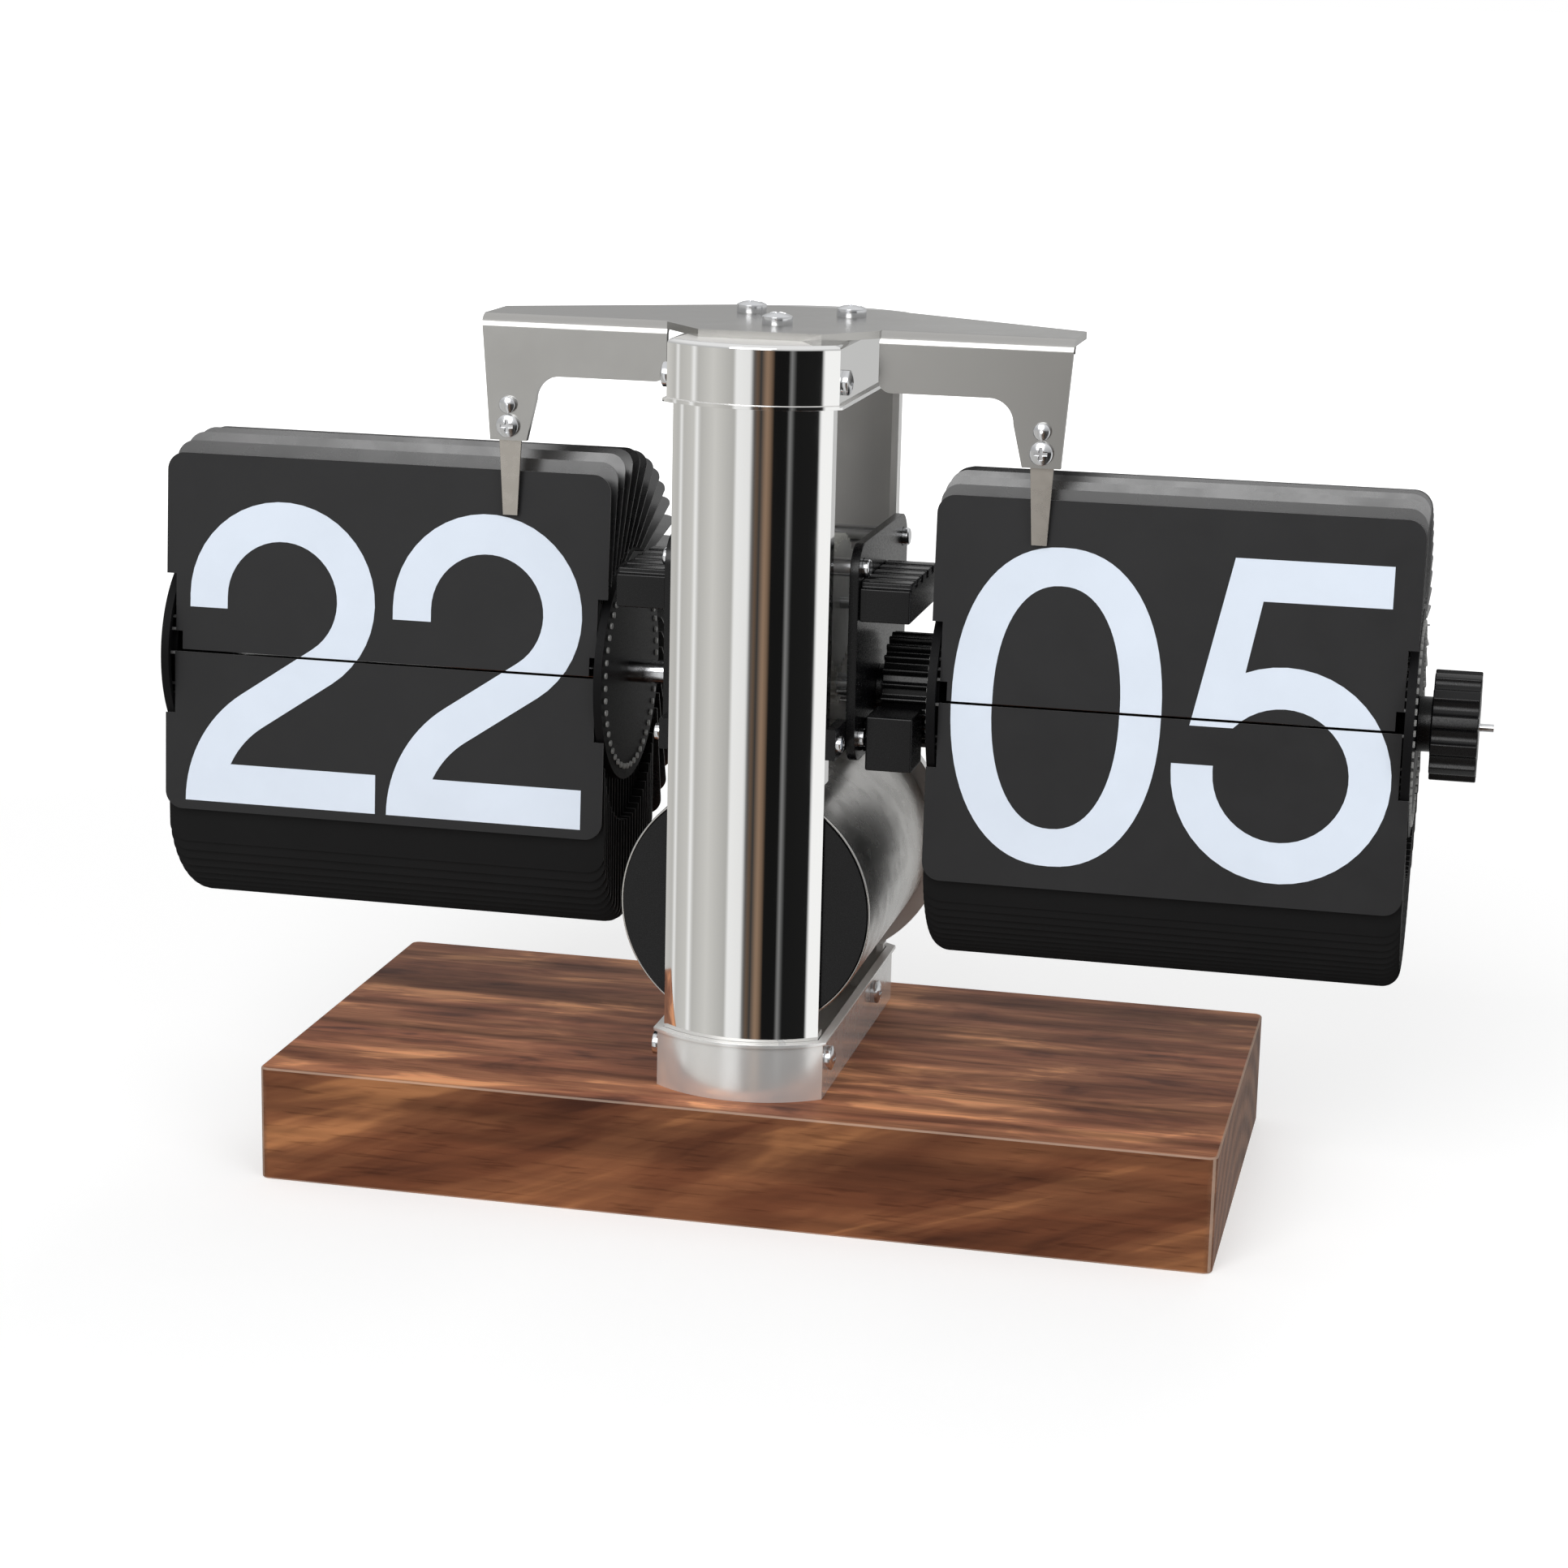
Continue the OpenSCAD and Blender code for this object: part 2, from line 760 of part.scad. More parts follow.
module drive_sleeve() {
    color(black)
    along_x(sleeve_x, axis_z)
        difference() {
            linear_extrude(sleeve_len) spur(drive_ridges, drive_r, ridge_h, ridge_h);
            translate([0, 0, -eps]) cylinder(d = shaft_d, h = sleeve_len + 2 * eps);
        }
}

module motor_module() {
    standoff = spacer_proud + run_gap;
    color(black)
    translate([gearbox_half + plate_t, -drive_r - motor_room - motor_d, plate_low - motor_drop]) {
        translate([standoff, 0, 0]) cube([motor_w - standoff, motor_d, motor_h]);
        translate([0, motor_d - motor_lug, lug_inset])
            cube([standoff + eps, motor_lug, motor_h - 2 * lug_inset]);
    }
}

// Ribbed blocks that brace the top of the outer plates
bridge_w = 8.4;
bridge_d = 24;
bridge_h = 6.5;
bridge_ribs = 5;
bridge_inset = 1;
bridge_drop = 5.8;
rib_h = 1;
rib_share = 0.6;

module gearbox_bridges() {
    rib_step = bridge_d / bridge_ribs;
    rib_gap = rib_step * (1 - rib_share) / 2;
    color(black)
    for (side = [0, 1])
        mirror([side, 0, 0])
            translate([gearbox_half + plate_t, -plate_y + bridge_inset, plate_high - bridge_drop - bridge_h]) {
                cube([bridge_w, bridge_d, bridge_h - rib_h]);
                for (i = [0 : bridge_ribs - 1])
                    translate([0, i * rib_step + rib_gap, 0]) cube([bridge_w, rib_step * rib_share, bridge_h]);
            }
}

tooth_sink = 0.3;
root_share = 0.2;
pitch_share = 0.19;
tip_share = 0.1;

// Spur gear with straight-sided teeth, drawn in its own plane
module spur(teeth, pitch_r, add, ded) {
    step = 360 / teeth;
    root = [pitch_r - ded - tooth_sink, pitch_r * sin(step * root_share)];
    waist = [pitch_r, pitch_r * sin(step * pitch_share)];
    tip = [pitch_r + add, pitch_r * sin(step * tip_share)];
    circle(r = pitch_r - ded);
    for (i = [0 : teeth - 1])
        rotate(i * step)
            polygon([[root[0], -root[1]], [waist[0], -waist[1]], [tip[0], -tip[1]], tip, waist, root]);
}

addendum = 0.8;
dedendum = 1.1;

module gear(x, width, z, teeth, pitch_r, module_mm, bore, phase) {
    translate([x, 0, z])
        rotate([90, 0, 90])
            difference() {
                linear_extrude(width)
                    rotate(phase) spur(teeth, pitch_r, addendum * module_mm, dedendum * module_mm);
                translate([0, 0, -eps]) cylinder(d = bore, h = width + 2 * eps);
            }
}

first_module = 2 * gear_centres / (minute_teeth + lay_teeth);
second_module = 2 * gear_centres / (lay_pinion_teeth + hour_teeth);
first_x = 4;
second_x = -12;
gear_w = 5;

module lay_shaft() {
    half = gearbox_half + plate_t;
    color(steel) translate([-half, 0, lay_z]) rotate([0, 90, 0]) cylinder(d = lay_d, h = 2 * half);
}

// A tooth of one gear points at the other's gap along the line of centres
module lay_gear() {
    color([0.85, 0.85, 0.82])
    gear(first_x, gear_w, lay_z, lay_teeth, lay_teeth * first_module / 2, first_module, lay_d,
        -90 + 180 / lay_teeth);
}

module lay_pinion() {
    color([0.85, 0.85, 0.82])
    gear(second_x, gear_w, lay_z, lay_pinion_teeth, lay_pinion_teeth * second_module / 2, second_module,
        lay_d, -90 + 180 / lay_pinion_teeth);
}

module minute_pinion() {
    color([0.85, 0.85, 0.82])
    gear(first_x, gear_w, axis_z, minute_teeth, minute_teeth * first_module / 2, first_module, pinion_d,
        90);
}

module hour_gear() {
    color([0.85, 0.85, 0.82])
    gear(second_x, gear_w, axis_z, hour_teeth, hour_teeth * second_module / 2, second_module, shaft_d, 90);
}

// Drums: shaft, two end discs with a ring of pin bearings, and the flaps

drum_far = flap_near + flap_w;
knob_gap = 2.4;
shaft_proud = 0.6;
knob_x = drum_far + knob_gap;
tip_d = 1.3;
shaft_end = 0.15;

module minute_shaft() {
    color(steel) {
        along_x(shaft_end, axis_z) cylinder(d = pinion_d, h = first_x + gear_w - shaft_end + eps);
        along_x(first_x + gear_w, axis_z) cylinder(d = shaft_d, h = knob_x + knob_len - first_x - gear_w);
        along_x(knob_x + knob_len - eps, axis_z) cylinder(d = tip_d, h = tip_len + eps);
    }
}

module hour_shaft() {
    color(steel)
    along_x(-drum_far - shaft_proud, axis_z) cylinder(d = shaft_d, h = drum_far + shaft_proud - shaft_end);
}

hub_d = 9;
hub_len = 4;
bead_r = 0.5;
bead_h = 0.35;

// End disc with its plain face at x and its pin groove on the far side
module end_disc(x, inward, count) {
    color(black)
    translate([x, 0, axis_z])
        rotate([0, inward * 90, 0])
            difference() {
                union() {
                    cylinder(r = disc_r, h = disc_t, $fn = 128);
                    cylinder(d = hub_d, h = disc_t + hub_len);
                    for (i = [0 : count - 1])
                        rotate(i * 360 / count)
                            translate([hinge_r, 0, -bead_h]) cylinder(r = bead_r, h = bead_h + eps, $fn = 16);
                }
                translate([0, 0, disc_t - groove_depth])
                    difference() {
                        cylinder(r = groove_out, h = groove_depth + eps, $fn = 128);
                        translate([0, 0, -eps])
                            cylinder(r = groove_in, h = groove_depth + 3 * eps, $fn = 128);
                    }
                cylinder(d = shaft_d, h = 4 * (disc_t + hub_len), center = true);
            }
}

module minute_inner_disc() { end_disc(flap_near, 1, minute_count); }

module minute_outer_disc() { end_disc(drum_far, -1, minute_count); }

module hour_inner_disc() { end_disc(-flap_near, -1, hour_count); }

module hour_outer_disc() { end_disc(-drum_far, 1, hour_count); }

flute_r = 1.5;
flute_out = 0.4;

module setting_knob() {
    color(black)
    translate([knob_x, 0, axis_z])
        rotate([0, 90, 0])
            difference() {
                union() {
                    cylinder(d = knob_d, h = knob_len, $fn = 96);
                    translate([0, 0, drum_far - knob_x]) cylinder(d = hub_d, h = knob_x - drum_far + eps);
                }
                for (i = [0 : knob_flutes - 1])
                    rotate(i * 360 / knob_flutes)
                        translate([knob_d / 2 + flute_out, 0, -eps])
                            cylinder(r = flute_r, h = knob_len + 2 * eps);
                cylinder(d = shaft_d, h = 4 * knob_len, center = true);
            }
}

// Outline of a flap: pins at the origin, free edge at v = reach, narrow between the discs
module flap_plan(reach, tail, notch) {
    half = flap_w / 2;
    neck = half - notch_in;
    translate([-neck, -pin_r]) square([2 * neck, notch + pin_r + eps]);
    if (tail > 0)
        translate([-neck + tail_inset, -tail]) square([2 * (neck - tail_inset), tail]);
    translate([-half, notch]) square([2 * half, reach - notch - flap_corner]);
    translate([-half + flap_corner, notch]) square([2 * (half - flap_corner), reach - notch]);
    for (x = [-1, 1])
        translate([x * (half - flap_corner), reach - flap_corner]) circle(r = flap_corner, $fn = 32);
}

// A flap standing up from its pins at the origin, with the front face towards -Y
module flap(reach, tail = 0, notch = notch_len) {
    translate([0, flap_t / 2, 0]) rotate([90, 0, 0]) linear_extrude(flap_t) flap_plan(reach, tail, notch);
    for (x = [-1, 1])
        translate([x * (flap_w / 2 - notch_in), 0, 0])
            rotate([0, x * 90, 0]) cylinder(r = pin_r, h = pin_len, $fn = 16);
}

module at_pin(side, angle, lean) {
    translate([side * flap_mid, -hinge_r * cos(angle), axis_z + hinge_r * sin(angle)])
        rotate([-lean, 0, 0]) children();
}

module front_flap(side) {
    color(flap_black) at_pin(side, front_pin_angle, front_lean) flap(flap_reach, flap_tail);
}

sweep_room = 0.4;
sweep_turn = 25;
stack_lap = 1;

// Room that the front flap's tail needs behind it while the flap turns over
module tail_sweep(side) {
    translate([side * flap_mid, front_pin_y, front_pin_z])
        rotate([0, 90, 0])
            cylinder(r = flap_tail + sweep_room, h = flap_w - 2 * (notch_in + tail_inset - sweep_room),
                center = true);
}

module upper_stack(side, pitch) {
    color(flap_black)
    for (turn = [pitch : pitch : rear_hang])
        difference() {
            at_pin(side, front_pin_angle + turn, front_lean + turn) flap(flap_reach);
            if (turn < sweep_turn) tail_sweep(side);
        }
}

// Flaps that have fallen hang straight down from the lower half of the drum
module lower_stack(side, count) {
    color(flap_black)
    for (i = [0 : count - 1])
        at_pin(side, first_hang + i * (last_hang - first_hang) / (count - 1), 180)
            flap(flap_reach - flap_tail + stack_lap);
}

module lower_flap_frame(side, foot_z) {
    lean = atan((lower_top_y - lower_foot_y) / (lower_top_z - foot_z));
    translate([side * flap_mid, lower_top_y, lower_top_z]) rotate([-lean, 0, 0]) children();
}

function lower_len(foot_z) = norm([lower_top_y - lower_foot_y, lower_top_z - foot_z]);

module lower_flap(side, foot_z) {
    color(flap_black)
    lower_flap_frame(side, foot_z)
        translate([0, 0, -pin_r]) rotate([180, 0, 0]) flap(lower_len(foot_z), notch = lower_notch);
}

module hour_front_flap() { front_flap(-1); }

module minute_front_flap() { front_flap(1); }

module hour_lower_flap() { lower_flap(-1, hour_drop_z); }

module minute_lower_flap() { lower_flap(1, minute_drop_z); }

module hour_upper_stack() { upper_stack(-1, hour_pitch); }

module minute_upper_stack() { upper_stack(1, minute_pitch); }

module hour_lower_stack() { lower_stack(-1, hour_count / 2); }

module minute_lower_stack() { lower_stack(1, minute_count / 2); }

// Digits, drawn as strokes along a centre line, with the dividing line at v = 0

function direction(p, i) = let (a = p[max(i - 1, 0)], b = p[min(i + 1, len(p) - 1)]) (b - a) / norm(b - a);
function side_points(p, off) =
    [for (i = [0 : len(p) - 1]) let (d = direction(p, i)) p[i] + off * [-d[1], d[0]]];
function arc(c, r, a0, a1, n) = [for (i = [0 : n]) let (a = a0 + (a1 - a0) * i / n) c + r * [cos(a), sin(a)]];

module stroke(p) {
    left = side_points(p, digit_stroke / 2);
    right = side_points(p, -digit_stroke / 2);
    polygon(concat(left, [for (i = [len(right) - 1 : -1 : 0]) right[i]]));
}

half_h = digit_h / 2;
half_w = digit_w / 2;
half_s = digit_stroke / 2;

two_inset = 0.6;
two_hook = 2.1;
two_turn = 56;

// The bowl ends in a straight slant, which then bends down into the foot's left end
module digit_two() {
    bowl_r = half_w - two_inset - half_s;
    bowl_z = half_h - half_s - bowl_r;
    bowl_end = [bowl_r * cos(two_turn), bowl_z - bowl_r * sin(two_turn)];
    foot_x = -half_w + half_s;
    run = bowl_end[0] - foot_x;
    drop = bowl_end[1] + half_h;
    sweep_r = (drop * sin(two_turn) - run * cos(two_turn)) / (1 - cos(two_turn));
    intersection() {
        union() {
            stroke(concat([[-bowl_r, bowl_z - two_hook]], arc([0, bowl_z], bowl_r, 180, -two_turn, 30),
                arc([foot_x + sweep_r, -half_h], sweep_r, 180 - two_turn, 180, 15), [[foot_x, -digit_h]]));
            translate([foot_x, -half_h]) square([half_w - foot_x, digit_stroke]);
        }
        square([digit_w, digit_h], center = true);
    }
}

zero_power = 2.25;
zero_crown = 0.5;

// Closed curve between an ellipse and a box
module oval(a, b) {
    power = zero_power;
    polygon([for (i = [0 : 71]) let (c = cos(i * 5), s = sin(i * 5))
        [a * sign(c) * pow(abs(c), 2 / power), b * sign(s) * pow(abs(s), 2 / power)]]);
}

module digit_zero() {
    difference() {
        oval(half_w, half_h);
        oval(half_w - digit_stroke, half_h - digit_stroke + zero_crown);
    }
}

five_shift = 0.4;
five_bar_inset = 0.8;
five_stem_top = 8.4;
five_stem_foot = 2.6;
five_stem_drop = 1.2;
five_stem_share = 0.9;
five_hook = 1;
five_start = 128;

module digit_five() {
    bowl_r = half_w - half_s + five_shift;
    bowl_mid = [five_shift, -half_h + half_s + bowl_r];
    stem_top = [-half_w + five_stem_top, half_h];
    stem_foot = [-half_w + five_stem_foot, -five_stem_drop];
    stroke(concat(arc(bowl_mid, bowl_r, five_start, -180, 40), [bowl_mid + [-bowl_r, five_hook]]));
    translate([stem_top[0], half_h - digit_stroke])
        square([half_w - five_bar_inset - stem_top[0], digit_stroke]);
    difference() {
        polygon([stem_top, stem_top + [digit_stroke * five_stem_share, 0], stem_foot + [digit_stroke, 0],
            stem_foot]);
        translate(bowl_mid) circle(r = bowl_r - half_s);
    }
}

module half_plane(up) {
    translate([-flap_w, up ? 0 : -flap_w - split_gap]) square([2 * flap_w, flap_w]);
}

module digit_pair(kind) {
    translate([-digit_pitch / 2, 0]) if (kind == 0) digit_two(); else digit_zero();
    translate([digit_pitch / 2, 0]) if (kind == 0) digit_two(); else digit_five();
}

module upper_digits(side, kind) {
    color(digit_white)
    at_pin(side, front_pin_angle, front_lean)
        translate([0, -flap_t / 2, -flap_tail])
            rotate([90, 0, 0])
                linear_extrude(print_t) intersection() { digit_pair(kind); half_plane(true); }
}

module lower_digits(side, kind, foot_z) {
    color(digit_white)
    lower_flap_frame(side, foot_z)
        translate([0, -flap_t / 2, split_gap])
            rotate([90, 0, 0])
                linear_extrude(print_t) intersection() { digit_pair(kind); half_plane(false); }
}

module hour_upper_digits() { upper_digits(-1, 0); }

module hour_lower_digits() { lower_digits(-1, 0, hour_drop_z); }

module minute_upper_digits() { upper_digits(1, 1); }

module minute_lower_digits() { lower_digits(1, 1, minute_drop_z); }

wood_base();
base_screws();
foot_frame();
foot_screws();
front_column();
rear_column();
top_cap();
cap_screws();
cross_arm();
arm_screws();
left_finger();
right_finger();
finger_screws();
finger_rivets();
battery_barrel();
barrel_sleeve();
battery_cap();
battery_cell();
front_contact();
rear_contact();
gearbox_left_plate();
gearbox_centre_plate();
gearbox_right_plate();
gearbox_spacers();
gearbox_feet();
gearbox_screws();
gearbox_bridges();
motor_module();
drive_sleeve();
lay_shaft();
lay_gear();
lay_pinion();
minute_shaft();
minute_pinion();
minute_inner_disc();
minute_outer_disc();
setting_knob();
hour_shaft();
hour_gear();
hour_inner_disc();
hour_outer_disc();
hour_front_flap();
hour_upper_digits();
hour_lower_flap();
hour_lower_digits();
hour_upper_stack();
hour_lower_stack();
minute_front_flap();
minute_upper_digits();
minute_lower_flap();
minute_lower_digits();
minute_upper_stack();
minute_lower_stack();
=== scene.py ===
import math

import bmesh
import bpy
from mathutils import Matrix, Vector


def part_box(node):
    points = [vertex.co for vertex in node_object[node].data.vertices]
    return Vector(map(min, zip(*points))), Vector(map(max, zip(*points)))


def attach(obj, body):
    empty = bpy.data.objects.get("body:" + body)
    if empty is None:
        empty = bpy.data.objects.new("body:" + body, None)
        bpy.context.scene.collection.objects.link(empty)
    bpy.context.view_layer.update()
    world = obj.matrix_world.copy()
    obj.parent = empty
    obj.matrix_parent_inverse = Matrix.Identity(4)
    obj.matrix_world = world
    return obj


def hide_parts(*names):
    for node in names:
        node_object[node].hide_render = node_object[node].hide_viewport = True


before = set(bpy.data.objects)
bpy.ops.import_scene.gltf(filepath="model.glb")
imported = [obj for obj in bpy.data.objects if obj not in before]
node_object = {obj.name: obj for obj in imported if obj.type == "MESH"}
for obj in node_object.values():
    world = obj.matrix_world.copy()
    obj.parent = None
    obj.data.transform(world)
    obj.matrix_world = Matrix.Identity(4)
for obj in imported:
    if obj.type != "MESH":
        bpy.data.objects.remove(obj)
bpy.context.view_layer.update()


# Wooden base: a solid walnut block, planed, sanded and oiled, with round corners and broken arrises.
# The grain runs along its length, with flame figure on the front, streaks on top and rings on the ends.
# Two counterbored holes underneath take the screws that hold the stand.

def material_nodes(name):
    """A new node material with its Principled shader: (material, nodes, links, shader)."""
    material = bpy.data.materials.new(name)
    material.use_nodes = True
    nodes = material.node_tree.nodes
    return material, nodes, material.node_tree.links, nodes["Principled BSDF"]


def effect_group(name, given, made):
    """A shader node group with its named sockets: (group, nodes, links, input node, output node)."""
    group = bpy.data.node_groups.new(name, "ShaderNodeTree")
    for way, sockets in (("INPUT", given), ("OUTPUT", made)):
        for socket, kind in sockets:
            group.interface.new_socket(socket, in_out=way, socket_type="NodeSocket" + kind)
    nodes = group.nodes
    return group, nodes, group.links, nodes.new("NodeGroupInput"), nodes.new("NodeGroupOutput")


def node(nodes, kind, **values):
    """A shader node with its properties and its named input values set."""
    made = nodes.new(kind)
    for key, value in values.items():
        if hasattr(made, key):
            setattr(made, key, value)
        else:
            made.inputs[key.replace("_", " ")].default_value = value
    return made


def fed(nodes, links, source, socket, kind, **values):
    """A shader node as above, with one of its sockets linked to a source."""
    made = node(nodes, kind, **values)
    links.new(source, made.inputs[socket])
    return made


def ramp(nodes, links, source, stops, interpolation="LINEAR"):
    """The colours that a source takes on along (position, colour) stops."""
    made = fed(nodes, links, source, "Fac", "ShaderNodeValToRGB")
    made.color_ramp.interpolation = interpolation
    elements = made.color_ramp.elements
    while len(elements) < len(stops):
        elements.new(1)
    for element, (position, colour) in zip(elements, stops):
        element.position = position
        element.color = (*colour, 1)
    return made.outputs["Color"]


def mix(nodes, links, kind, factor, first, second):
    """A colour mix: each input is a socket or a plain value, and the result socket comes back."""
    made = node(nodes, "ShaderNodeMix", data_type="RGBA", blend_type=kind)
    for socket, value in ((made.inputs[0], factor), (made.inputs[6], first), (made.inputs[7], second)):
        if isinstance(value, bpy.types.NodeSocket):
            links.new(value, socket)
        elif isinstance(value, tuple):
            socket.default_value = (*value, 1)
        else:
            socket.default_value = value
    return made.outputs[2]


def raise_surface(nodes, links, shader, height, strength, distance):
    """Gives a shader the fine relief of a height."""
    bump = fed(nodes, links, height, "Height", "ShaderNodeBump", Strength=strength, Distance=distance)
    links.new(bump.outputs["Normal"], shader.inputs["Normal"])


def object_from(shape, name, *materials):
    """Turns a finished shape into an object with its materials."""
    mesh = bpy.data.meshes.new(name)
    shape.to_mesh(mesh)
    shape.free()
    for material in materials:
        mesh.materials.append(material)
    made = bpy.data.objects.new(name, mesh)
    bpy.context.scene.collection.objects.link(made)
    return made


def round_edges(shape, edges, width, steps):
    """Rounds edges of a shape."""
    bmesh.ops.bevel(shape, geom=edges, offset=width, segments=steps, profile=0.5, affect="EDGES",
                    material=-1, clamp_overlap=True)


SAME_POINT = 1e-6
NO_LENGTH = SAME_POINT / 10
FLAT_ANGLE = math.radians(0.5)
SMOOTH_ANGLE = math.radians(35)
CORNER_DEGREES = 40
CROWN_STEPS = 5


def trimmed(name, body, slot, width, *materials, choose=None, crown=None, steps=2):
    """Stands for a CAD node: the same solid with broken edges, its faces shared out among the materials."""
    shape = bmesh.new()
    shape.from_mesh(node_object[name].data)
    bmesh.ops.remove_doubles(shape, verts=shape.verts, dist=SAME_POINT)
    bmesh.ops.dissolve_limit(shape, angle_limit=FLAT_ANGLE, verts=shape.verts, edges=shape.edges,
                             delimit={"NORMAL"})
    if crown:
        is_crown, radius = crown
        round_edges(shape, [e for e in shape.edges if is_crown(e)], radius, CROWN_STEPS)
    if width:
        corners = [e for e in shape.edges if len(e.link_faces) == 2
                   and math.degrees(e.calc_face_angle()) > CORNER_DEGREES]
        round_edges(shape, corners, width, steps)
        bmesh.ops.dissolve_degenerate(shape, dist=NO_LENGTH, edges=shape.edges)
    for face in shape.faces:
        face.smooth = True
        face.material_index = choose(face) if choose else 0
    piece = object_from(shape, name + "_trimmed", *materials)
    piece.data.set_sharp_from_angle(angle=SMOOTH_ANGLE)
    piece.modifiers.new("even_shading", "WEIGHTED_NORMAL").keep_sharp = True
    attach(piece, body)
    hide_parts(name)


FLAME_TILT = math.radians(19)
FLAME_TWIST = math.radians(3)
FLAME_TONES = [(0.3, (0.058, 0.019, 0.01)), (0.43, (0.13, 0.045, 0.021)), (0.55, (0.19, 0.074, 0.034)),
               (0.68, (0.37, 0.16, 0.068))]
STREAK_TONES = [(0.36, (0.55, 0.52, 0.5)), (0.5, (0.95, 0.93, 0.91)), (0.64, (1.5, 1.45, 1.38))]
SIDE_STREAKS = 0.5
FIBRE_TONES = [(0.3, (0.78, 0.76, 0.74)), (0.62, (1.12, 1.1, 1.08))]
FIBRE_SHARE = 0.8
PORE_TONES = [(0.33, (0.5, 0.45, 0.42)), (0.43, (1, 1, 1))]
PORE_SHARE = 0.55
SHEEN_SATURATION = 0.95
SHEEN_LIFT = 2.1
PITH_DEPTH = 0.03
RING_TONES = [(0.1, (0.13, 0.056, 0.03)), (0.9, (0.23, 0.11, 0.062))]
BACK_REACH = 0.035
BACK_SHARE = 0.7
BACK_TINT = (0.62, 0.7, 0.8)
EDGE_HIGHLIGHT_TINT = (0.62, 0.48, 0.38)
OILED_ROUGHNESS = [(0.2, (0.6, 0.6, 0.6)), (0.8, (0.48, 0.48, 0.48))]


def walnut_group():
    """Walnut's figure: flame, streaks, fibre, pores and end rings, with a painted sheen on top. A painted
    highlight pales it on the broken edges.
    """
    group, nodes, links, given, result = effect_group(
        "walnut_figure", [("Wear", "Float")],
        [("Colour", "Color"), ("Roughness", "Float"), ("Pores", "Float")])
    place = nodes.new("ShaderNodeTexCoord").outputs["Object"]

    def stretched(source, scale, detail, distortion, stretch):
        squeeze = fed(nodes, links, source, "Vector", "ShaderNodeMapping", Scale=stretch)
        noise = fed(nodes, links, squeeze.outputs[0], "Vector", "ShaderNodeTexNoise", Scale=scale,
                    Detail=detail, Roughness=0.55, Distortion=distortion)
        return noise.outputs["Fac"]

    def size_of(component):
        return fed(nodes, links, component, 0, "ShaderNodeMath", operation="ABSOLUTE").outputs[0]

    along = fed(nodes, links, place, "Vector", "ShaderNodeMapping", vector_type="TEXTURE",
                Rotation=(0, -FLAME_TILT, FLAME_TWIST))
    flame = stretched(along.outputs[0], 34, 4, 0.5, (0.4, 3.4, 3.0))
    streaks = stretched(place, 70, 5, 0.15, (0.07, 2.4, 2.8))
    pores = stretched(place, 100, 2, 0.0, (0.9, 13, 13))
    fibre_tone = ramp(nodes, links, stretched(place, 420, 4, 0.0, (0.06, 1, 1)), FIBRE_TONES)

    facing = fed(nodes, links, nodes.new("ShaderNodeNewGeometry").outputs["Normal"], 0,
                 "ShaderNodeSeparateXYZ")
    upward = size_of(facing.outputs["Z"])
    endward = size_of(facing.outputs["X"])
    streak_share = fed(nodes, links, upward, "Value", "ShaderNodeMapRange", To_Min=SIDE_STREAKS)
    colour = mix(nodes, links, "MULTIPLY", streak_share.outputs[0],
                 ramp(nodes, links, flame, FLAME_TONES, "EASE"), ramp(nodes, links, streaks, STREAK_TONES))
    colour = mix(nodes, links, "MULTIPLY", FIBRE_SHARE, colour, fibre_tone)
    colour = mix(nodes, links, "MULTIPLY", PORE_SHARE, colour, ramp(nodes, links, pores, PORE_TONES))
    # Painted sheen: faces that look up are lightened and greyed, as if the top caught the light.
    top_sheen = fed(nodes, links, colour, "Color", "ShaderNodeHueSaturation", Saturation=SHEEN_SATURATION,
                 Value=SHEEN_LIFT)
    links.new(upward, top_sheen.inputs["Fac"])

    from_pith = fed(nodes, links, place, "Vector", "ShaderNodeMapping", Location=(0, 0, PITH_DEPTH))
    rings = fed(nodes, links, from_pith.outputs[0], "Vector", "ShaderNodeTexWave", wave_type="RINGS",
                rings_direction="X", Scale=55, Distortion=3, Detail=3, Detail_Scale=40)
    end_grain = mix(nodes, links, "MULTIPLY", FIBRE_SHARE,
                    ramp(nodes, links, rings.outputs["Fac"], RING_TONES), fibre_tone)
    colour = mix(nodes, links, "MIX", endward, top_sheen.outputs["Color"], end_grain)

    # Towards its back the block grows greyer and bluer.
    depth = fed(nodes, links, place, 0, "ShaderNodeSeparateXYZ")
    toward_back = fed(nodes, links, depth.outputs["Y"], "Value", "ShaderNodeMapRange", From_Min=-BACK_REACH,
                From_Max=BACK_REACH, To_Min=0, To_Max=BACK_SHARE)
    colour = mix(nodes, links, "MULTIPLY", toward_back.outputs[0], colour, BACK_TINT)
    # Painted highlight: the broken edges are paled towards a light tint.
    colour = mix(nodes, links, "MIX", given.outputs["Wear"], colour, EDGE_HIGHLIGHT_TINT)
    links.new(colour, result.inputs["Colour"])
    links.new(ramp(nodes, links, streaks, OILED_ROUGHNESS), result.inputs["Roughness"])
    links.new(pores, result.inputs["Pores"])
    return group


walnut_figure = walnut_group()


def walnut_material(name, edge_highlight):
    """Oiled walnut, with more or less of a painted highlight."""
    material, nodes, links, shader = material_nodes(name)
    figure = node(nodes, "ShaderNodeGroup", node_tree=walnut_figure, Wear=edge_highlight)
    links.new(figure.outputs["Colour"], shader.inputs["Base Color"])
    links.new(figure.outputs["Roughness"], shader.inputs["Roughness"])
    shader.inputs["Specular IOR Level"].default_value = 0.14
    raise_surface(nodes, links, shader, figure.outputs["Pores"], strength=0.2, distance=0.0002)
    return material


UPRIGHT_LIMIT = 0.1
LEVEL_LIMIT = 0.98
CORNER_LIMIT = 0.5


def is_arris(face):
    """Faces of a broken edge lie between level and upright, those of a corner's middle between two sides."""
    across, along, up = (abs(c) for c in face.normal)
    return int(UPRIGHT_LIMIT < up < LEVEL_LIMIT
               or (up < UPRIGHT_LIMIT and min(across, along) > CORNER_LIMIT))


